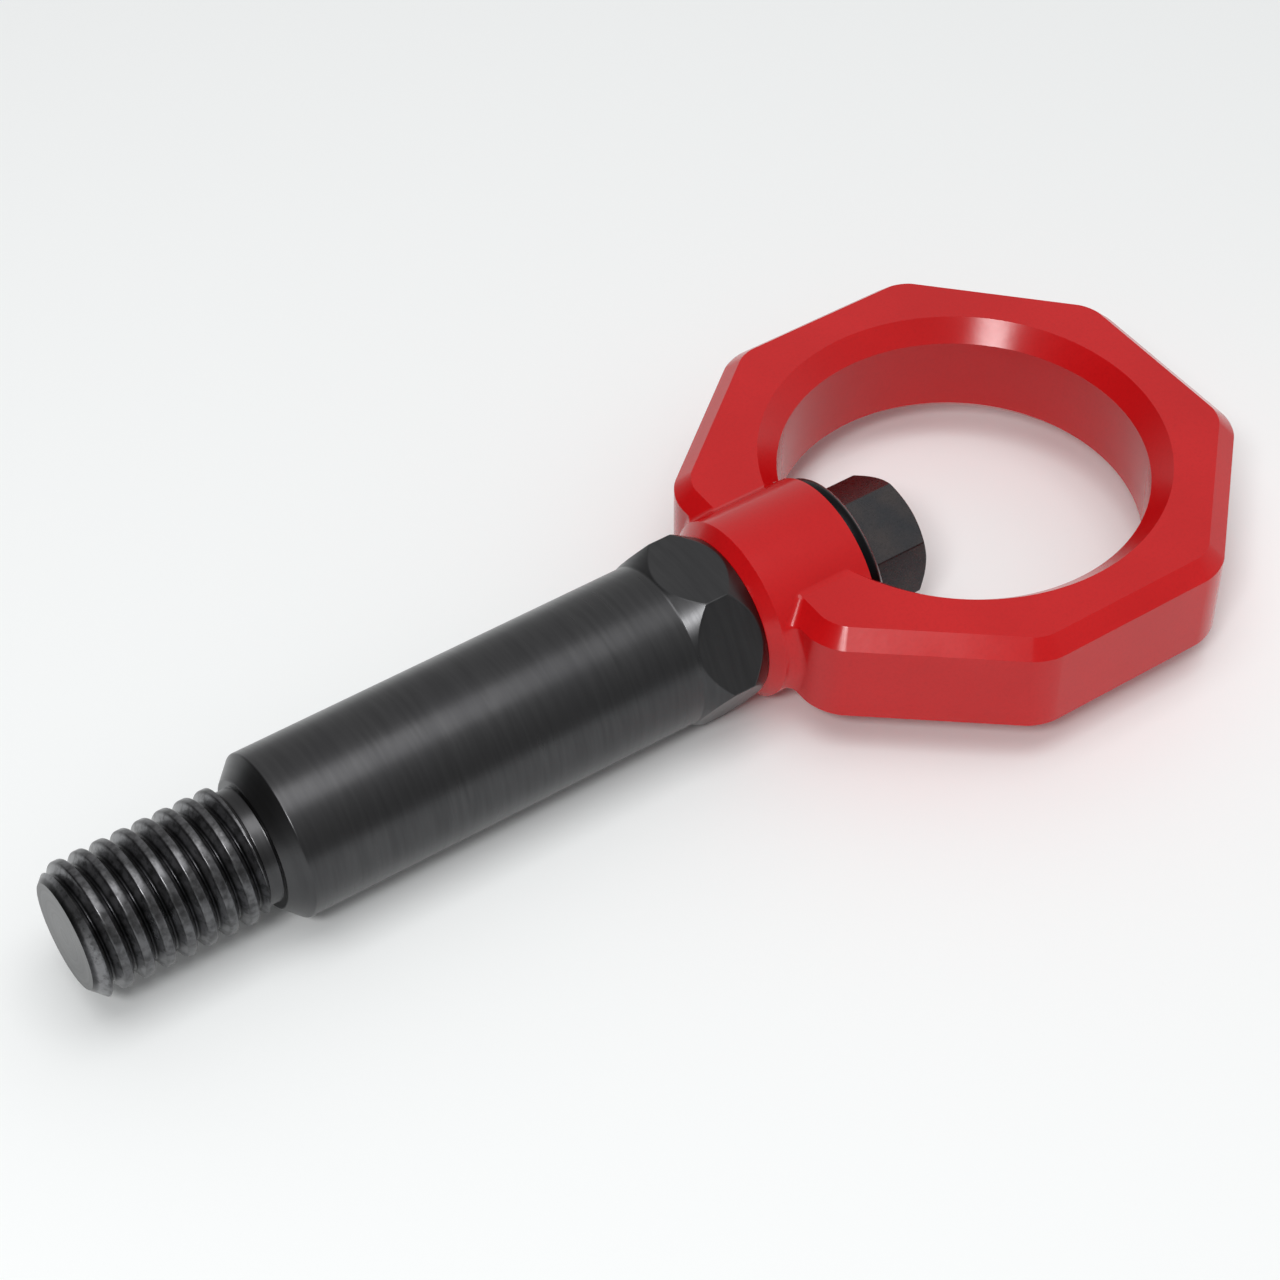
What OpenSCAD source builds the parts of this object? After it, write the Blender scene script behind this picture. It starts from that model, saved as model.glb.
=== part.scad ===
// Screw-in tow eye: an eight-sided machined ring on a round shank with a threaded stud.
// The shank's axis runs along X, with the stud at the -X end. The ring lies flat, its bore along Z.
// Z = 0 is the surface that the part lies on, and X = 0, Y = 0 is the middle of its length and width.

/* [Ring] */
// Thickness of the ring, face to face
ring_t = 14.7; // [12:0.1:18]
// Width of the ring across its two side flats
ring_w = 63.2; // [61:0.1:68]
// From the bore's centre to the front flat
ring_front = 31.7; // [30.5:0.1:34]
// From the bore's centre to the rear flat, where the boss comes out
ring_rear = 32.5; // [31.5:0.1:34]
// Width of the front flat
front_flat_w = 26; // [20:0.5:30]
// Width of the rear flat
rear_flat_w = 30.8; // [29:0.2:34]
// How far each side flat runs ahead of the bore's centre
side_flat_fore = 13.5; // [10:0.5:15]
// How far each side flat runs behind the bore's centre
side_flat_aft = 12.3; // [10:0.5:14]
// Chamfer along the outer edge, on both faces
edge_chamfer = 2; // [1:0.1:2.5]
// Radius of the eight upright corners
corner_r = 6; // [4:0.2:8]

/* [Eye bore] */
// Diameter of the eye
eye_d = 45; // [40:0.5:46]
// Chamfer at each mouth of the eye
eye_chamfer = 2.4; // [1:0.1:3]

/* [Boss] */
// Diameter of the round boss that takes the shank
boss_d = 22.4; // [21.6:0.2:26]
// How far the boss stands out of the rear flat
boss_out = 3.1; // [2.6:0.1:6]
// Chamfer round the boss's outer end
boss_chamfer = 1.4; // [0.5:0.1:1.6]
// Radius of the fillet between the boss and the rear flat
root_fillet_r = 1.6; // [1:0.1:2]
// How far the boss's flat seat for the bolt stands inside the bore
seat_out = 1.4; // [0.2:0.1:2]
// Clearance round the bolt's flange in its seat, on the diameter
seat_play = 0.6; // [0.4:0.1:3]

/* [Shank] */
// Diameter of the shank
shank_d = 20; // [19:0.1:20.2]
// Length of the shank with its wrench hexagon, from the boss to the shoulder
shank_len = 62.7; // [50:0.1:90]
// Chamfer at the shoulder end
shoulder_chamfer = 2.2; // [1:0.1:2.6]
// Width of the wrench hexagon across its flats
hex_af = 20.3; // [20.3:0.1:21]
// Length of the wrench hexagon
hex_len = 9.2; // [8:0.1:14]
// Diameter at the hexagon's chamfered end, against the boss
hex_end_d = 19.6; // [19:0.1:20]
// Angle of the hexagon's chamfers to the shank's axis
hex_chamfer_angle = 30; // [25:1:40]

/* [Stud] */
// Outside diameter of the stud's thread
stud_d = 16; // [14:0.5:17]
// Length of the threaded part, with its chamfered tip
stud_len = 21.3; // [16:0.1:30]
// Chamfer at the tip
stud_chamfer = 1.7; // [0.8:0.1:2]
// Diameter of the plain neck beside the shoulder
neck_d = 13.8; // [12.5:0.1:13.8]
// Length of the neck
neck_len = 1.6; // [1:0.1:3]

/* [Bolt] */
// Diameter of the clamping bolt
bolt_d = 10; // [8:0.5:11]
// Length of the bolt under its head
bolt_len = 30; // [24:1:40]
// Clearance round the bolt in the boss's hole, on the diameter
bolt_play = 0.5; // [0.3:0.1:1]
// Clearance round the bolt in its threaded hole, on the diameter
thread_play = 0.1; // [0.1:0.05:0.3]
// Unused depth of the threaded hole past the bolt's end
spare_depth = 5; // [2:0.5:10]
// Diameter of the bolt's flange
flange_d = 21.4; // [18:0.2:21.6]
// Thickness of the flange at its rim
flange_t = 2; // [1.5:0.1:3.5]
// Width of the bolt's hexagon across its flats
head_af = 14; // [13:0.5:16]
// Height of the bolt's head, with its flange
head_h = 10.7; // [8:0.1:14]

/* [Hidden] */
$fn = 96;
over = 1;
corner_meet = 4;
eye_r = eye_d / 2;
boss_r = boss_d / 2;
// Places along the axis, measured from the bore's centre
boss_x = -ring_rear - boss_out;
seat_x = -eye_r + seat_out;
shoulder_x = boss_x - shank_len;
neck_x = shoulder_x - neck_len;
tip_x = neck_x - stud_len;
bolt_end_x = seat_x - bolt_len;
head_x = seat_x + head_h;
// The part's middle and its height over the surface it lies on
mid_x = (tip_x + ring_front) / 2;
axis_z = max(boss_r, shank_d / 2, ring_t / 2);
// The bolt's hexagon stands with two of its corners up and down
head_corner_r = head_af / sqrt(3);
hex_corner_r = hex_af / sqrt(3);
// Half of the ring's outline from the rear flat to the front flat, then its mirror image
half_outline = [
    [-ring_rear, rear_flat_w / 2],
    [-side_flat_aft, ring_w / 2],
    [side_flat_fore, ring_w / 2],
    [ring_front, front_flat_w / 2]
];
outline = concat(half_outline, [for (i = [3 : -1 : 0]) [half_outline[i][0], -half_outline[i][1]]]);
corners = len(outline);

function toward(a, b) = (b - a) / norm(b - a);
function bearing(a, b) = atan2(b[1] - a[1], b[0] - a[0]);
// Half of the turn between the flats a to b and b to c
function half_turn(a, b, c) = acos(toward(a, b) * toward(b, c)) / 2;

// Puts what is drawn about the bore's centre at its place on the surface
module placed() {
    translate([-mid_x, 0, axis_z]) children();
}

// Turns a profile of (radius, x) points about the shank's axis, with the seam on top
module turned(points) {
    rotate([0, 90, 0]) rotate([0, 0, 180]) rotate_extrude() polygon(points);
}

// A cylinder along the shank's axis
module along_x(x, length, d) {
    translate([x, 0, 0]) rotate([0, 90, 0]) cylinder(h = length, d = d);
}

// The stock that one edge chamfer takes off the flat between a and b
module edge_cut(a, b) {
    side = 2 * (edge_chamfer + root_fillet_r);
    run = norm(b - a) + 4 * edge_chamfer;
    for (face = [0, 1]) mirror([0, 0, face])
        translate([(a[0] + b[0]) / 2, (a[1] + b[1]) / 2, ring_t / 2])
            rotate([0, 0, bearing(a, b)]) rotate([-45, 0, 0])
                translate([-run / 2, -side, -edge_chamfer / sqrt(2)])
                    cube([run, 2 * side, side]);
}

// The stock that rounding takes off the upright corner at b. The round meets each flat at a shallow
// angle, corner_meet, and its chamfers are cones.
module corner_cut(a, b, c) {
    near = corner_r * cos(corner_meet);
    half = half_turn(a, b, c);
    from = b - toward(a, b) * near * tan(half);
    to = b + toward(b, c) * near * tan(half);
    middle = b + toward(b, (from + to) / 2) * near / cos(half);
    tip = b + toward(middle, b) * over;
    cone_r = corner_r - edge_chamfer - over;
    translate([0, 0, -ring_t / 2 - over]) difference() {
        linear_extrude(ring_t + 2 * over) polygon([
            middle,
            from + toward(middle, from) * over,
            tip,
            to + toward(middle, to) * over
        ]);
        translate([middle[0], middle[1], 0]) {
            cylinder(h = edge_chamfer + over, r1 = cone_r, r2 = corner_r);
            translate([0, 0, edge_chamfer + over])
                cylinder(h = ring_t - 2 * edge_chamfer, r = corner_r);
            translate([0, 0, ring_t + over - edge_chamfer])
                cylinder(h = edge_chamfer + over, r1 = corner_r, r2 = cone_r);
        }
    }
}

// The concave fillet where the boss leaves the rear flat, no thicker than the ring
module root_fillet() {
    root_x = -ring_rear;
    intersection() {
        rotate([0, 90, 0]) rotate_extrude() difference() {
            translate([0, root_x - root_fillet_r])
                square([boss_r + root_fillet_r, root_fillet_r + over]);
            translate([boss_r + root_fillet_r, root_x - root_fillet_r]) circle(r = root_fillet_r);
        }
        cube([2 * ring_rear + 4 * root_fillet_r, ring_w, ring_t], center = true);
    }
}

// The eight-sided plate with its chamfered edge
module plate() {
    difference() {
        union() {
            translate([0, 0, -ring_t / 2]) linear_extrude(ring_t) polygon(outline);
            root_fillet();
        }
        for (i = [0 : corners - 1]) edge_cut(outline[i], outline[(i + 1) % corners]);
        for (i = [0 : corners - 1])
            corner_cut(outline[(i + corners - 1) % corners], outline[i], outline[(i + 1) % corners]);
    }
}

module eye_bore() {
    cylinder(h = ring_t + 2 * over, d = eye_d, center = true);
    for (face = [0, 1]) mirror([0, 0, face])
        translate([0, 0, ring_t / 2 - eye_chamfer])
            cylinder(h = eye_chamfer + over, r1 = eye_r, r2 = eye_r + eye_chamfer + over);
}

module boss() {
    turned([
        [0, boss_x],
        [boss_r - boss_chamfer, boss_x],
        [boss_r, boss_x + boss_chamfer],
        [boss_r, seat_x],
        [0, seat_x]
    ]);
}

module tow_ring() {
    color("firebrick") placed() difference() {
        union() {
            difference() {
                plate();
                eye_bore();
                // The flat seat for the bolt's flange, cut into the bore's wall
                along_x(seat_x, eye_r, max(flange_d, boss_d) + seat_play);
            }
            boss();
        }
        along_x(boss_x - over, -boss_x + seat_x + 2 * over, bolt_d + bolt_play);
    }
}

module wrench_hexagon() {
    from_x = boss_x - hex_len;
    swell = hex_len * tan(hex_chamfer_angle);
    intersection() {
        translate([from_x, 0, 0]) rotate([0, 90, 0]) rotate([0, 0, 90])
            cylinder(h = hex_len, r = hex_corner_r, $fn = 6);
        turned([[0, from_x], [shank_d / 2, from_x], [shank_d / 2 + swell, boss_x], [0, boss_x]]);
        turned([[0, from_x], [hex_end_d / 2 + swell, from_x], [hex_end_d / 2, boss_x], [0, boss_x]]);
    }
}

module shank() {
    shank_r = shank_d / 2;
    hole_r = (bolt_d + thread_play) / 2;
    hole_x = bolt_end_x - spare_depth;
    color("dimgray") placed() difference() {
        union() {
            turned([
                [0, tip_x],
                [stud_d / 2 - stud_chamfer, tip_x],
                [stud_d / 2, tip_x + stud_chamfer],
                [stud_d / 2, neck_x],
                [neck_d / 2, neck_x],
                [neck_d / 2, shoulder_x],
                [shank_r - shoulder_chamfer, shoulder_x],
                [shank_r, shoulder_x + shoulder_chamfer],
                [shank_r, boss_x - hex_len],
                [0, boss_x - hex_len]
            ]);
            wrench_hexagon();
        }
        // The bolt's threaded hole, with a drilled point at its end
        turned([
            [0, hole_x - hole_r * tan(31)],
            [hole_r, hole_x],
            [hole_r, boss_x + over],
            [0, boss_x + over]
        ]);
    }
}

module flange_bolt() {
    bolt_r = bolt_d / 2;
    flange_r = flange_d / 2;
    rim_x = seat_x + flange_t;
    end_chamfer = bolt_r * 0.16;
    soft = flange_t * 0.2;
    // The flange's top slopes up to a collar just outside the hexagon's corners
    collar_r = head_corner_r + 0.2;
    slope_h = (flange_r - soft - collar_r) * tan(20);
    // The hexagon's end is turned to a circle a little smaller than its flats
    crown_r = head_af * 0.47;
    crown_swell = (head_x - rim_x) / tan(30);
    color("darkslategray") placed() {
        turned([
            [0, bolt_end_x],
            [bolt_r - end_chamfer, bolt_end_x],
            [bolt_r, bolt_end_x + end_chamfer],
            [bolt_r, seat_x],
            [flange_r - soft, seat_x],
            [flange_r, seat_x + soft],
            [flange_r, rim_x - soft],
            [flange_r - soft, rim_x],
            [collar_r, rim_x + slope_h],
            [0, rim_x + slope_h]
        ]);
        intersection() {
            translate([rim_x, 0, 0]) rotate([0, 90, 0])
                cylinder(h = head_x - rim_x, r = head_corner_r, $fn = 6);
            turned([[0, rim_x], [crown_r + crown_swell, rim_x], [crown_r, head_x], [0, head_x]]);
        }
    }
}

tow_ring();
shank();
flange_bolt();
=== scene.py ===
import math

import bmesh
import bpy
from mathutils import Matrix, Vector


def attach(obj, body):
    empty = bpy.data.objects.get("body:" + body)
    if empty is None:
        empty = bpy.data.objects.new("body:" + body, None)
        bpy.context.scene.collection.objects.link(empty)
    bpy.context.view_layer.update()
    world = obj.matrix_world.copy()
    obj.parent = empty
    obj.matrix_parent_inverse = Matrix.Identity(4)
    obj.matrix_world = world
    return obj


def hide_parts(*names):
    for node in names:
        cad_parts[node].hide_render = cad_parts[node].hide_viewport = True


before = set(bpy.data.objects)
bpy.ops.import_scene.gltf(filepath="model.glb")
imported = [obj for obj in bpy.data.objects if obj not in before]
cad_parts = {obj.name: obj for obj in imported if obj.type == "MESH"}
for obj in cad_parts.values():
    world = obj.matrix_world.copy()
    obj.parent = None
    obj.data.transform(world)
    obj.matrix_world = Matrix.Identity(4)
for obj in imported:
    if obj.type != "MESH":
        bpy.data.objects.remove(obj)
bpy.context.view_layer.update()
mm = 0.001
axisHeight = 11.2  # of the shank's axis over the floor, in mm
eyeCentre = Vector((44.75, 0, axisHeight)) * mm  # middle of the ring's bore, in the row's frame

# Camera, at the angle the photograph was taken from
view = {
    "place": (-142.53, -210.13, 276.92),  # mm
    "yaw": 56.276,
    "pitch": -46.197,
    "roll": -0.377,
    "lens": 88.985,
}


def addCamera():
    data = bpy.data.cameras.new("camera")
    data.lens = view["lens"]
    data.sensor_width = 36
    data.clip_start = 0.01
    camera = bpy.data.objects.new("camera", data)
    bpy.context.scene.collection.objects.link(camera)
    turn = (
        Matrix.Rotation(math.radians(view["yaw"] - 90), 4, "Z")
        @ Matrix.Rotation(math.radians(view["pitch"] + 90), 4, "X")
        @ Matrix.Rotation(math.radians(view["roll"]), 4, "Z")
    )
    camera.matrix_world = Matrix.Translation(Vector(view["place"]) * mm) @ turn
    bpy.context.scene.camera = camera


addCamera()
print("camera set")


def clearSelection():
    if bpy.context.object and bpy.context.object.mode != "OBJECT":
        bpy.ops.object.mode_set(mode="OBJECT")
    bpy.ops.object.select_all(action="DESELECT")


def holdOnly(piece):
    clearSelection()
    piece.select_set(True)
    bpy.context.view_layer.objects.active = piece


def startEdit(piece):
    holdOnly(piece)
    bpy.ops.object.mode_set(mode="EDIT")


def endEdit():
    bpy.ops.object.mode_set(mode="OBJECT")


def pickEdges(piece, test):
    # test gets an edge's two ends, in mm from the eye's centre
    bpy.ops.mesh.select_mode(type="EDGE")
    bpy.ops.mesh.select_all(action="DESELECT")
    shape = bmesh.from_edit_mesh(piece.data)
    for edge in shape.edges:
        if test(edge.verts[0].co / mm, edge.verts[1].co / mm):
            edge.select_set(True)
    bmesh.update_edit_mesh(piece.data)


def openProfile(name, points):
    # A circle opened at its last edge, its points moved to (place along the shank's axis, radius) in mm
    clearSelection()
    bpy.ops.mesh.primitive_circle_add(vertices=len(points), radius=0.01)
    piece = bpy.context.object
    piece.name = name
    startEdit(piece)
    bpy.ops.mesh.select_mode(type="EDGE")
    bpy.ops.mesh.select_all(action="DESELECT")
    shape = bmesh.from_edit_mesh(piece.data)
    shape.verts.ensure_lookup_table()
    shape.edges.get((shape.verts[0], shape.verts[len(points) - 1])).select_set(True)
    bpy.ops.mesh.delete(type="EDGE")
    endEdit()
    for corner, (along, radius) in zip(piece.data.vertices, points):
        corner.co = Vector((along, radius, 0)) * mm
    return piece


def spinProfile(name, points, steps=128):
    piece = openProfile(name, points)
    startEdit(piece)
    bpy.ops.mesh.select_all(action="SELECT")
    bpy.ops.mesh.spin(steps=steps, angle=2 * math.pi, center=(0, 0, 0), axis=(1, 0, 0))
    bpy.ops.mesh.select_all(action="SELECT")
    bpy.ops.mesh.remove_doubles(threshold=2e-6)
    bpy.ops.mesh.normals_make_consistent(inside=False)
    endEdit()
    return piece


def addPrism(name, radius, start, end, cornersUp):
    # A hexagonal bar along the shank's axis
    clearSelection()
    turn = (math.pi / 2, 0, math.pi / 2) if cornersUp else (0, math.pi / 2, 0)
    bpy.ops.mesh.primitive_cylinder_add(
        vertices=6, radius=radius * mm, depth=(end - start) * mm, location=((start + end) / 2 * mm, 0, 0), rotation=turn
    )
    piece = bpy.context.object
    piece.name = name
    bpy.ops.object.transform_apply(location=True, rotation=True, scale=True)
    return piece


def carve(piece, tool, how="DIFFERENCE"):
    holdOnly(piece)
    step = piece.modifiers.new("carve", "BOOLEAN")
    step.operation = how
    step.solver = "EXACT"
    step.object = tool
    bpy.ops.object.modifier_apply(modifier=step.name)
    bpy.data.objects.remove(tool)


def tidyMesh(piece):
    startEdit(piece)
    bpy.ops.mesh.select_all(action="SELECT")
    bpy.ops.mesh.remove_doubles(threshold=1e-5)
    bpy.ops.mesh.dissolve_limited(angle_limit=math.radians(0.5))
    endEdit()


def soften(piece, width, angle=25, segments=2):
    holdOnly(piece)
    step = piece.modifiers.new("soften", "BEVEL")
    step.width = width * mm
    step.segments = segments
    step.limit_method = "ANGLE"
    step.angle_limit = math.radians(angle)
    step.use_clamp_overlap = True
    bpy.ops.object.modifier_apply(modifier=step.name)


def finishPiece(piece, node, angle=35):
    # Sets the piece at its place on the shank's axis, in its mesh, and hands it to the frame
    holdOnly(piece)
    piece.location = eyeCentre
    bpy.ops.object.transform_apply(location=True, rotation=True, scale=True)
    bpy.ops.object.shade_smooth_by_angle(angle=math.radians(angle))
    step = piece.modifiers.new("evenShading", "WEIGHTED_NORMAL")
    step.keep_sharp = True
    bpy.ops.object.modifier_apply(modifier=step.name)
    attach(piece, "root")
    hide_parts(node)
    print(piece.name, "finished,", len(piece.data.polygons), "faces")


# The ring, milled from a plate
ringSizes = {
    "thick": 14.7,
    "corners": [(-32.5, 15.4), (-12.3, 31.6), (13.5, 31.6), (31.7, 13)],
    "cornerRadius": 6,
    "edgeChamfer": 2,
    "bore": 22.5,
    "boreChamfer": 2.4,
    "boss": 11.2,
    "bossEnd": -35.6,
    "bossChamfer": 1.4,
    "rootFillet": 1.6,
    "seat": -21.1,
    "seatRadius": 11.5,
    "boltHole": 5.25,
    "soft": 0.35,
}


def makePlate():
    s = ringSizes
    half = s["thick"] / 2
    rear, front, side = s["corners"][0][0], s["corners"][3][0], s["corners"][1][1]
    clearSelection()
    bpy.ops.mesh.primitive_cube_add(size=1, location=((rear + front) / 2 * mm, 0, 0))
    plate = bpy.context.object
    plate.name = "milledRing"
    plate.scale = ((front - rear) * mm, 2 * side * mm, s["thick"] * mm)
    bpy.ops.object.transform_apply(location=True, rotation=True, scale=True)
    startEdit(plate)
    for way in (1, -1):  # the four slanted flats
        for a, b in (s["corners"][:2], s["corners"][2:]):
            out = Vector(((a[1] - b[1]) * way, b[0] - a[0], 0)).normalized() * way
            bpy.ops.mesh.select_all(action="SELECT")
            bpy.ops.mesh.bisect(
                plane_co=Vector((a[0], way * a[1], 0)) * mm, plane_no=out, use_fill=True, clear_outer=True
            )
    path = [(rear, 0)] + s["corners"] + [(front, 0)]
    for before, corner, after in zip(path, path[1:], path[2:]):  # the upright corners
        turn = Vector(corner) - Vector(before)
        turn = turn.angle(Vector(after) - Vector(corner))
        pickEdges(
            plate,
            lambda a, b: abs(a.z - b.z) > half and (Vector((a.x, abs(a.y))) - Vector(corner)).length < 0.01,
        )
        bpy.ops.mesh.bevel(offset=s["cornerRadius"] * math.tan(turn / 2) * mm, segments=8, profile=0.5)
    pickEdges(plate, lambda a, b: abs(a.z - b.z) < 0.01 and abs(abs(a.z) - half) < 0.01)
    bpy.ops.mesh.bevel(offset=s["edgeChamfer"] * mm, segments=1)
    endEdit()
    return plate


def makeRootFillet(way):
    # The concave blend that a ball end mill leaves where the round boss meets the plate, drawn as the path
    # of the ball's centre over the top face, down the chamfered rear edge and back under the bottom face
    s = ringSizes
    ball, half, chamfer = s["rootFillet"], s["thick"] / 2, s["edgeChamfer"]
    rear = s["corners"][0][0]
    reach = s["boss"] + ball
    ridges = [(rear + chamfer, half, 0, 45), (rear, half - chamfer, 45, 90)]
    stops = [(-20, half, 0), (-26, half, 0)]  # (x, z) touched on the plate, and the angle of the ball above it
    for x, z, start, end in ridges:
        stops += [(x, z, start + (end - start) * k / 6) for k in range(7)]
    stops += [(rear, (half - chamfer) * (1 - k / 8), 90) for k in range(1, 8)]
    stops += [(x, -z, 180 - tilt) for x, z, tilt in reversed(stops)]
    rows = []
    for x, z, tilt in stops:
        tilt = math.radians(tilt)
        cx, cz = x - ball * math.sin(tilt), z + ball * math.cos(tilt)
        cy = math.sqrt(reach * reach - cz * cz)
        centre = Vector((cx, way * cy, cz))
        toBoss = (Vector((cx, way * cy * s["boss"] / reach, cz * s["boss"] / reach)) - centre).normalized()
        toPlate = (Vector((x, way * cy, z)) - centre).normalized()
        inward = (toBoss + toPlate).normalized()
        centre += inward * 0.02  # sinks both edges of the blend a little into the metal
        arc = [centre + toBoss.slerp(toPlate, k / 8) * ball for k in range(9)]
        rows.append([q * mm for q in arc] + [(centre + inward * (ball + 1.2)) * mm])
    shape = bmesh.new()
    rings = [[shape.verts.new(q) for q in row] for row in rows]
    count = len(rings[0])
    for one, two in zip(rings, rings[1:]):
        for k in range(count):
            shape.faces.new((one[k], one[(k + 1) % count], two[(k + 1) % count], two[k]))
    shape.faces.new(rings[0])
    shape.faces.new(rings[-1])
    bmesh.ops.recalc_face_normals(shape, faces=shape.faces)
    data = bpy.data.meshes.new("rootFillet")
    shape.to_mesh(data)
    shape.free()
    fillet = bpy.data.objects.new("rootFillet", data)
    bpy.context.scene.collection.objects.link(fillet)
    return fillet


def makeRing():
    s = ringSizes
    ring = makePlate()
    carve(ring, makeRootFillet(1), "UNION")
    carve(ring, makeRootFillet(-1), "UNION")
    half, wide, deep = s["thick"] / 2, s["bore"], s["boreChamfer"]
    bore = spinProfile(
        "boreCutter",
        [
            (-half - 4, 0),
            (-half - 4, wide + deep + 4),
            (-half + deep, wide),
            (half - deep, wide),
            (half + 4, wide + deep + 4),
            (half + 4, 0),
        ],
        steps=192,
    )
    bore.rotation_euler = (0, -math.pi / 2, 0)
    holdOnly(bore)
    bpy.ops.object.transform_apply(location=True, rotation=True, scale=True)
    carve(ring, bore)
    end, seat, radius, chamfer = s["bossEnd"], s["seat"], s["boss"], s["bossChamfer"]
    carve(ring, spinProfile("seatCutter", [(seat, 0), (seat, s["seatRadius"]), (0, s["seatRadius"]), (0, 0)]))
    boss = spinProfile("boss", [(end, 0), (end, radius - chamfer), (end + chamfer, radius), (seat, radius), (seat, 0)])
    carve(ring, boss, "UNION")
    hole = s["boltHole"]
    carve(ring, spinProfile("holeCutter", [(end - 1, 0), (end - 1, hole), (seat + 1, hole), (seat + 1, 0)], steps=64))
    tidyMesh(ring)
    soften(ring, s["soft"])
    finishPiece(ring, "tow_ring")
    return ring


# The shank, turned from bar
shankSizes = {
    "bossEnd": -35.6,
    "radius": 10,
    "length": 62.7,
    "shoulderChamfer": 2.2,
    "hexFlats": 20.3,
    "hexLength": 9.2,
    "hexEnd": 9.8,
    "hexSlope": 30,
    "neck": 6.9,
    "neckLength": 1.6,
    "studLength": 21.3,
    "boltHole": 5.05,
    "boltHoleEnd": -56.1,
    "soft": 0.15,
}
threadSizes = {
    "pitch": 2.55,
    "crest": 7.85,
    "root": 6.5,
    "tip": 6.35,
    "neckTop": 6.9,
    "steps": 120,
    "crestAt": -118.67,  # where the crest crosses crestAngle
    "crestAngle": 39.87,  # degrees from +Y towards +Z
    # half of one ridge: distance from its middle, and how far below the crest
    "ridge": [(0, 0), (0.3, 0), (0.4, 0.03), (0.49, 0.1), (0.55, 0.19), (1.08, 1.21), (1.16, 1.31), (1.275, 1.35)],
}


def makeThread(tip, neckEnd):
    s = threadSizes
    pitch, crest = s["pitch"], s["crest"]
    # One rolled ridge from root to root, then the screw modifier's turns
    middle = s["crestAt"] - pitch * s["crestAngle"] / 360
    middle -= pitch * (math.ceil((middle - tip) / pitch) + 2)
    profile = [(middle - away, crest - down) for away, down in reversed(s["ridge"])]
    profile += [(middle + away, crest - down) for away, down in s["ridge"][1:]]
    stud = openProfile("thread", profile)
    holdOnly(stud)
    step = stud.modifiers.new("turns", "SCREW")
    step.axis = "X"
    step.angle = 2 * math.pi
    step.steps = step.render_steps = s["steps"]
    step.screw_offset = pitch * mm
    step.iterations = math.ceil((neckEnd - middle) / pitch) + 2
    bpy.ops.object.modifier_apply(modifier=step.name)
    startEdit(stud)
    bpy.ops.mesh.select_all(action="SELECT")
    bpy.ops.mesh.remove_doubles(threshold=5e-6)
    for end, way in ((tip - 0.5, -1), (neckEnd + 0.5, 1)):
        bpy.ops.mesh.select_all(action="SELECT")
        bpy.ops.mesh.bisect(plane_co=(end * mm, 0, 0), plane_no=(way, 0, 0), use_fill=True, clear_outer=True)
    bpy.ops.mesh.select_all(action="SELECT")
    bpy.ops.mesh.normals_make_consistent(inside=False)
    endEdit()
    reach, tipRise = crest + 0.1, crest + 0.1 - s["tip"]
    blank = [
        (tip, 0),
        (tip, s["tip"]),
        (tip + tipRise, reach),
        (neckEnd - (reach - s["neckTop"]) * 0.6, reach),
        (neckEnd, s["neckTop"]),
        (neckEnd, 0),
    ]
    carve(stud, spinProfile("studBlank", blank), "INTERSECT")
    return stud


def makeShank():
    s, t = shankSizes, threadSizes
    boss, corner = s["bossEnd"], s["hexFlats"] / math.sqrt(3)
    shoulder = boss - s["length"]
    neckEnd = shoulder - s["neckLength"]
    hexStart = boss - s["hexLength"]
    slope = math.tan(math.radians(s["hexSlope"]))
    wide = corner + 0.3
    shank = spinProfile(
        "turnedShank",
        [
            (neckEnd - 2, 0),
            (neckEnd - 2, t["root"] - 0.1),
            (neckEnd - 0.1, t["root"] - 0.1),
            (neckEnd, s["neck"]),
            (shoulder, s["neck"]),
            (shoulder, s["radius"] - s["shoulderChamfer"]),
            (shoulder + s["shoulderChamfer"], s["radius"]),
            (hexStart, s["radius"]),
            (hexStart + (wide - s["radius"]) / slope, wide),
            (boss - (wide - s["hexEnd"]) / slope, wide),
            (boss, s["hexEnd"]),
            (boss, s["boltHole"] + 0.4),
            (boss - 0.4, s["boltHole"]),
            (s["boltHoleEnd"], s["boltHole"]),
            (s["boltHoleEnd"] - s["boltHole"] * math.tan(math.radians(31)), 0),
        ],
    )
    # The wrench flats, milled off the swollen end
    flats = spinProfile("flatsCutter", [(hexStart - 3, 0), (hexStart - 3, 16), (boss + 3, 16), (boss + 3, 0)], steps=48)
    carve(flats, addPrism("wrenchHexagon", corner, hexStart - 5, boss + 5, cornersUp=False))
    carve(shank, flats)
    tidyMesh(shank)
    soften(shank, s["soft"])
    stud = makeThread(neckEnd - s["studLength"], neckEnd)
    holdOnly(stud)
    shank.select_set(True)
    bpy.context.view_layer.objects.active = shank
    bpy.ops.object.join()
    finishPiece(shank, "shank")
    return shank


# The flange bolt, cold forged
boltSizes = {
    "seat": -21.1,
    "radius": 5,
    "flange": 10.7,
    "flangeThick": 2,
    "sideHeight": 1.0,
    "rimRound": [(0.65, 0.08), (0.35, 0.28), (0.12, 0.55), (0, 0.85)],  # below the rim's top, and in from its side
    "headFlats": 14,
    "headEnd": -10.4,
    "length": 30,
    "endChamfer": 0.8,
    "soft": 0.15,
}


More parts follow.
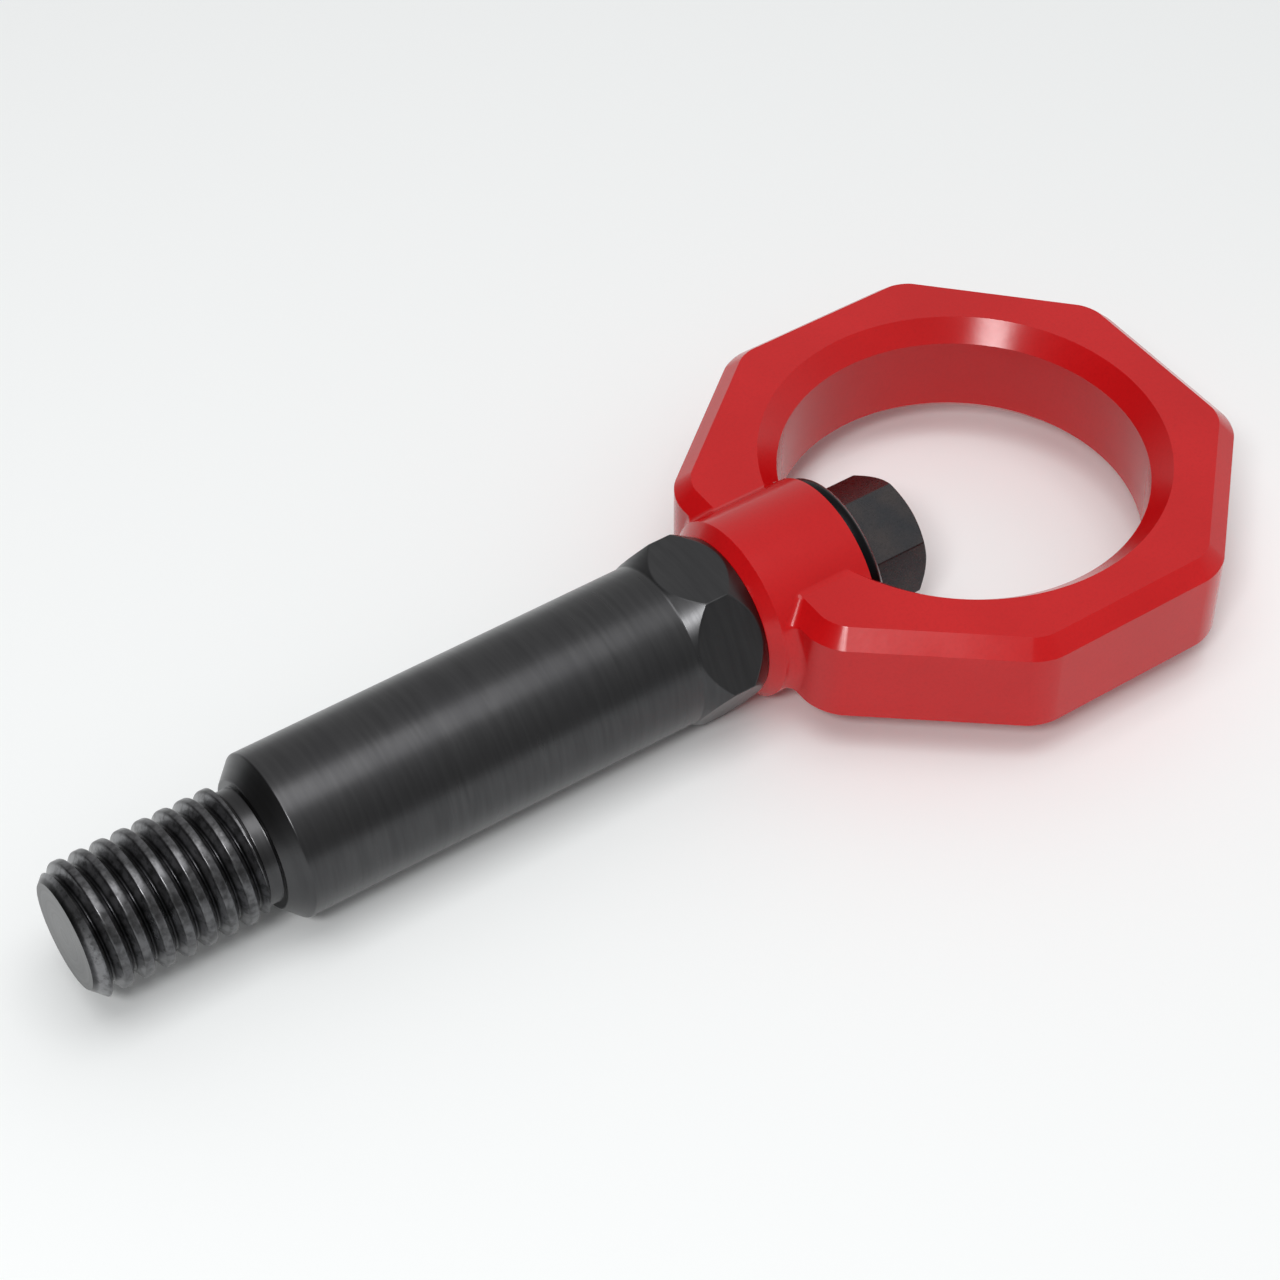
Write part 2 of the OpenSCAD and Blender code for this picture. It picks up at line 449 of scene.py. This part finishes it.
def makeBolt():
    s = boltSizes
    seat, rim, end = s["seat"], s["seat"] + s["flangeThick"], s["seat"] - s["length"]
    corner = s["headFlats"] / math.sqrt(3)
    collar = corner + 0.2
    slope = (s["flange"] - s["rimRound"][-1][1] - collar) * math.tan(math.radians(20))
    rimRound = [(rim - down, s["flange"] - inward) for down, inward in s["rimRound"]]
    bolt = spinProfile(
        "flangeBolt",
        [
            (end, 0),
            (end, s["radius"] - s["endChamfer"]),
            (end + s["endChamfer"], s["radius"]),
            (seat, s["radius"]),
            (seat, s["flange"] - 0.2),
            (seat + 0.2, s["flange"]),
            (seat + s["sideHeight"], s["flange"]),
        ]
        + rimRound
        + [(rim + slope, collar), (rim + slope, 0)],
    )
    head = addPrism("boltHead", corner, rim, s["headEnd"], cornersUp=True)
    crown = 0.47 * s["headFlats"]
    far = crown + (s["headEnd"] - rim) / math.tan(math.radians(30))
    cone = [(rim, 0), (rim, far), (s["headEnd"], crown), (s["headEnd"], 0)]
    carve(head, spinProfile("crownCutter", cone), "INTERSECT")
    carve(bolt, head, "UNION")
    tidyMesh(bolt)
    soften(bolt, s["soft"])
    finishPiece(bolt, "flange_bolt")
    return bolt


# Materials
# Where tones change, in mm: each pair is where a change starts and ends
tonePlaces = {
    "stud": (-55.4, -55.2),  # along the axis
    "flankMiddle": 7.2,  # from the axis
    # painted highlight on the thread's flanks fades out over this range
    "flankHighlight": (0.3, 0.5),  # either side of the flank's middle
    # painted shade at the thread's root fades out over this range
    "grooveShade": (6.55, 6.85),  # from the axis
    "flangeOuter": (9.9, 10.1),  # from the axis
    # painted highlight on the flange's rim starts over this range
    "flangeRimHighlight": (25.05, 25.25),  # along the axis
    # painted shade on the flange's side ends over this range
    "flangeSideShade": (24.85, 25.05),  # along the axis
}


def fromHex(text):
    # sRGB hex to linear
    values = [int(text[k:k + 2], 16) / 255 for k in (1, 3, 5)]
    return [v / 12.92 if v <= 0.04045 else ((v + 0.055) / 1.055) ** 2.4 for v in values] + [1]


def addNode(material, kind, settings=None, links=None):
    node = material.node_tree.nodes.new(kind)
    for name, value in (settings or {}).items():
        if isinstance(name, int) or name in node.inputs:
            node.inputs[name].default_value = value
        else:
            setattr(node, name, value)
    for name, source in (links or {}).items():
        material.node_tree.links.new(source, node.inputs[name])
    return node


def newMaterial(name):
    material = bpy.data.materials.new(name)
    material.use_nodes = True
    return material, material.node_tree.nodes["Principled BSDF"]


def mmPlace(material):
    # Object coordinates in millimetres
    place = addNode(material, "ShaderNodeTexCoord")
    settings = {"operation": "SCALE", "Scale": 1000}
    return addNode(material, "ShaderNodeVectorMath", settings, {"Vector": place.outputs["Object"]}).outputs["Vector"]


def barPlace(material, place):
    # A point's place along the shank's axis, and its distance from that axis
    part = addNode(material, "ShaderNodeSeparateXYZ", links={"Vector": place})
    fromAxis = addNode(material, "ShaderNodeMath", {"operation": "SUBTRACT", 1: axisHeight}, {0: part.outputs["Z"]})
    flat = addNode(material, "ShaderNodeCombineXYZ", links={"X": part.outputs["Y"], "Y": fromAxis.outputs[0]})
    radius = addNode(material, "ShaderNodeVectorMath", {"operation": "LENGTH"}, {0: flat.outputs[0]})
    return part.outputs["X"], radius.outputs["Value"]


def times(material, first, second):
    return addNode(material, "ShaderNodeMath", {"operation": "MULTIPLY"}, {0: first, 1: second}).outputs[0]


def ramp(material, source, low, high, start, end):
    # Turns start..end of the source into low..high
    settings = {"From Min": start, "From Max": end, "To Min": low, "To Max": high}
    return addNode(material, "ShaderNodeMapRange", settings, {"Value": source}).outputs["Result"]


def blend(material, share, first, second):
    node = addNode(material, "ShaderNodeMix", {"data_type": "RGBA"})
    for socket, value in ((6, first), (7, second)):
        if isinstance(value, list):
            node.inputs[socket].default_value = value
        else:
            material.node_tree.links.new(value, node.inputs[socket])
    material.node_tree.links.new(share, node.inputs[0])
    return node.outputs[2]


def coatedAluminium():
    # Polyester powder coat over milled aluminium: an even, fairly glossy red skin with a faint orange peel,
    # a shade deeper where it lies thick, and dulled a little in patches by handling
    material, shader = newMaterial("powderCoatedAluminium")
    links = material.node_tree.links
    place = mmPlace(material)
    cloud = addNode(material, "ShaderNodeTexNoise", {"Scale": 0.07, "Detail": 3.0}, {"Vector": place})  # 14 mm patches
    grain = addNode(material, "ShaderNodeTexNoise", {"Scale": 2.6, "Detail": 2.0}, {"Vector": place})  # 0.4 mm grain
    peel = addNode(material, "ShaderNodeTexNoise", {"Scale": 0.8, "Detail": 1.5}, {"Vector": place})  # 1.2 mm cells
    patch = ramp(material, cloud.outputs["Fac"], 0.0, 1.0, 0.35, 0.65)
    speck = ramp(material, grain.outputs["Fac"], 0.0, 0.35, 0.45, 0.8)
    tone = blend(material, patch, fromHex("#BF0A0E"), fromHex("#C60F13"))
    links.new(blend(material, speck, tone, fromHex("#AC080C")), shader.inputs["Base Color"])
    links.new(ramp(material, cloud.outputs["Fac"], 0.15, 0.24, 0.3, 0.7), shader.inputs["Roughness"])
    shader.inputs["Specular IOR Level"].default_value = 0.4
    bump = addNode(material, "ShaderNodeBump", {"Strength": 0.12, "Distance": 0.00004}, {"Height": peel.outputs["Fac"]})
    links.new(bump.outputs["Normal"], shader.inputs["Normal"])
    return material


def turnedSteel():
    # Turned steel with a thin black plating: dark and satin, with fine rings round it from the turning tool,
    # so that a highlight breaks into streaks across the bar
    material, shader = newMaterial("blackPlatedTurnedSteel")
    links = material.node_tree.links
    place = mmPlace(material)
    alongBar, radius = barPlace(material, place)
    # On faces across the bar the tool's rings lie side by side from the middle outwards
    normal = addNode(material, "ShaderNodeNewGeometry")
    facing = addNode(material, "ShaderNodeSeparateXYZ", links={"Vector": normal.outputs["Normal"]})
    across = addNode(material, "ShaderNodeMath", {"operation": "ABSOLUTE"}, {0: facing.outputs["X"]})
    isEnd = ramp(material, across.outputs[0], 0.0, 1.0, 0.93, 0.97)
    along = addNode(material, "ShaderNodeMix", {"data_type": "FLOAT"}, {0: isEnd, 2: alongBar, 3: radius}).outputs[0]
    # Real rings are about 0.1 mm apart; they are drawn 0.5 mm apart, to show from here
    step = addNode(material, "ShaderNodeCombineXYZ", links={"X": along})
    settings = {"Scale": 2.0, "Detail": 2.0, "Roughness": 0.7}
    rings = addNode(material, "ShaderNodeTexNoise", settings, {"Vector": step.outputs[0]})
    stretch = addNode(material, "ShaderNodeVectorMath", {"operation": "MULTIPLY", 1: (1.4, 0.12, 0.12)}, {0: place})
    settings = {"Scale": 1.0, "Detail": 3.0}
    streak = addNode(material, "ShaderNodeTexNoise", settings, {"Vector": stretch.outputs["Vector"]})
    cloud = addNode(material, "ShaderNodeTexNoise", {"Scale": 0.12, "Detail": 3.0}, {"Vector": place})
    streaks = ramp(material, streak.outputs["Fac"], 0.0, 1.0, 0.3, 0.7)
    tone = blend(material, streaks, fromHex("#464647"), fromHex("#4E4E4F"))
    tone = blend(material, ramp(material, cloud.outputs["Fac"], 0.0, 0.5, 0.4, 0.8), tone, fromHex("#434345"))
    # The thread's tones are matched to the photograph and hold painted light and shade: paler than the bar as a painted
    # sheen, palest on the flanks as a painted highlight, dark at the root as painted shade
    stud = ramp(material, alongBar, 1.0, 0.0, *tonePlaces["stud"])
    thread = times(material, stud, ramp(material, isEnd, 1.0, 0.0, 0.0, 1.0))
    settings = {"Scale": 0.9, "Detail": 4.0, "Roughness": 0.65}
    smear = addNode(material, "ShaderNodeTexNoise", settings, {"Vector": place})
    uneven = ramp(material, smear.outputs["Fac"], 0.0, 1.0, 0.4, 0.6)
    # Painted sheen: the thread's paler, unevenly smeared tone stands in for the light its ridges catch
    threadSheenTone = blend(material, uneven, fromHex("#484849"), fromHex("#666668"))
    tone = blend(material, thread, tone, threadSheenTone)
    # Painted highlight: a pale band on the thread's flanks, made patchy by the smear
    settings = {"operation": "SUBTRACT", 1: tonePlaces["flankMiddle"]}
    off = addNode(material, "ShaderNodeMath", settings, {0: radius})
    off = addNode(material, "ShaderNodeMath", {"operation": "ABSOLUTE"}, {0: off.outputs[0]})
    flankHighlight = ramp(material, off.outputs[0], 1.0, 0.0, *tonePlaces["flankHighlight"])
    flankHighlight = times(material, flankHighlight, ramp(material, smear.outputs["Fac"], 0.2, 1.0, 0.38, 0.55))
    tone = blend(material, times(material, flankHighlight, thread), tone, fromHex("#7E7E80"))
    # Painted shade: the thread's root is painted near black
    grooveShade = ramp(material, radius, 0.7, 0.0, *tonePlaces["grooveShade"])
    shade = times(material, grooveShade, thread)
    links.new(blend(material, shade, tone, fromHex("#18181A")), shader.inputs["Base Color"])
    rough = addNode(material, "ShaderNodeMath", {"operation": "ADD"})
    links.new(ramp(material, rings.outputs["Fac"], 0.27, 0.33, 0.3, 0.7), rough.inputs[0])
    links.new(ramp(material, cloud.outputs["Fac"], -0.02, 0.03, 0.3, 0.7), rough.inputs[1])
    links.new(rough.outputs[0], shader.inputs["Roughness"])
    shader.inputs["Metallic"].default_value = 1
    settings = {"Strength": 0.25, "Distance": 0.00002}
    bump = addNode(material, "ShaderNodeBump", settings, {"Height": rings.outputs["Fac"]})
    links.new(bump.outputs["Normal"], shader.inputs["Normal"])
    return material


def forgedSteel():
    # Cold-forged steel, heat-treated and blacked in oil: near black and satin, with a fine grain and a trace of brown.
    # Its flange's dark side is painted shade and its bright rim a painted highlight, both matched to the photograph
    material, shader = newMaterial("blackOxideForgedSteel")
    links = material.node_tree.links
    place = mmPlace(material)
    cloud = addNode(material, "ShaderNodeTexNoise", {"Scale": 0.3, "Detail": 4.0}, {"Vector": place})
    grain = addNode(material, "ShaderNodeTexNoise", {"Scale": 3.5, "Detail": 3.0}, {"Vector": place})  # 0.3 mm
    patch = ramp(material, cloud.outputs["Fac"], 0.0, 1.0, 0.35, 0.7)
    tone = blend(material, patch, fromHex("#434447"), fromHex("#4F4B4B"))
    alongBar, radius = barPlace(material, place)
    outer = ramp(material, radius, 0.0, 1.0, *tonePlaces["flangeOuter"])
    # Painted highlight: the flange's rounded rim is painted pale grey
    rim = times(material, outer, ramp(material, alongBar, 0.0, 1.0, *tonePlaces["flangeRimHighlight"]))
    # Painted shade: the flange's side is painted near black
    flangeSideShade = times(material, outer, ramp(material, alongBar, 0.9, 0.0, *tonePlaces["flangeSideShade"]))
    tone = blend(material, flangeSideShade, tone, fromHex("#141416"))
    links.new(blend(material, rim, tone, fromHex("#A8A8AA")), shader.inputs["Base Color"])
    links.new(ramp(material, grain.outputs["Fac"], 0.24, 0.36, 0.3, 0.7), shader.inputs["Roughness"])
    shader.inputs["Metallic"].default_value = 1
    settings = {"Strength": 0.25, "Distance": 0.00003}
    bump = addNode(material, "ShaderNodeBump", settings, {"Height": grain.outputs["Fac"]})
    links.new(bump.outputs["Normal"], shader.inputs["Normal"])
    return material


def paint(piece, material):
    piece.data.materials.clear()
    piece.data.materials.append(material)


paint(makeRing(), coatedAluminium())
paint(makeShank(), turnedSteel())
paint(makeBolt(), forgedSteel())
print("pieces painted")


# Floor and light
def addFloor():
    clearSelection()
    bpy.ops.mesh.primitive_plane_add(size=6)
    floor = bpy.context.object
    floor.name = "floor"
    material, shader = newMaterial("paleFloor")
    shader.inputs["Base Color"].default_value = fromHex("#F7F9F9")
    shader.inputs["Roughness"].default_value = 0.9
    shader.inputs["Specular IOR Level"].default_value = 0.1
    paint(floor, material)


def addLamp(name, place, target, size, power):
    data = bpy.data.lights.new(name, "AREA")
    data.shape = "RECTANGLE"
    data.size, data.size_y = size
    data.energy = power
    lamp = bpy.data.objects.new(name, data)
    bpy.context.scene.collection.objects.link(lamp)
    aim = Vector(target) - Vector(place)
    lamp.matrix_world = Matrix.Translation(place) @ aim.to_track_quat("-Z", "Y").to_matrix().to_4x4()


def addWorld():
    # A dim room, darker behind the stud and low in front, matched to how deep the photograph's faces are.
    # Each row: the darker direction, the strength away from it and towards it, and where it starts and ends
    world = bpy.data.worlds.new("softStudio")
    bpy.context.scene.world = world
    world.use_nodes = True
    links = world.node_tree.links
    background = world.node_tree.nodes["Background"]
    place = addNode(world, "ShaderNodeTexCoord")
    strength = None
    darker = (((-0.83, 0.44, 0.34), 0.63, 0.08, 0.4, 0.9), ((-0.25, -0.95, -0.2), 1.0, 0.45, 0.1, 0.8))
    for side, high, low, start, end in darker:
        settings = {"operation": "DOT_PRODUCT", 1: Vector(side).normalized()}
        toward = addNode(world, "ShaderNodeVectorMath", settings, {0: place.outputs["Generated"]})
        share = ramp(world, toward.outputs["Value"], high, low, start, end)
        if strength:
            share = addNode(world, "ShaderNodeMath", {"operation": "MULTIPLY"}, {0: strength, 1: share}).outputs[0]
        strength = share
    background.inputs["Color"].default_value = (1, 1, 1, 1)
    links.new(strength, background.inputs["Strength"])


addFloor()
addLamp("overheadLamp", (-0.07, -0.09, 0.8), (-0.07, 0, 0), (0.70, 0.44), 2.3)
addLamp("frontLamp", (-0.40, -0.34, 0.62), (0.03, 0, 0), (0.17, 0.12), 2.1)
addWorld()
bpy.context.scene.view_settings.view_transform = "Standard"
print("light set")
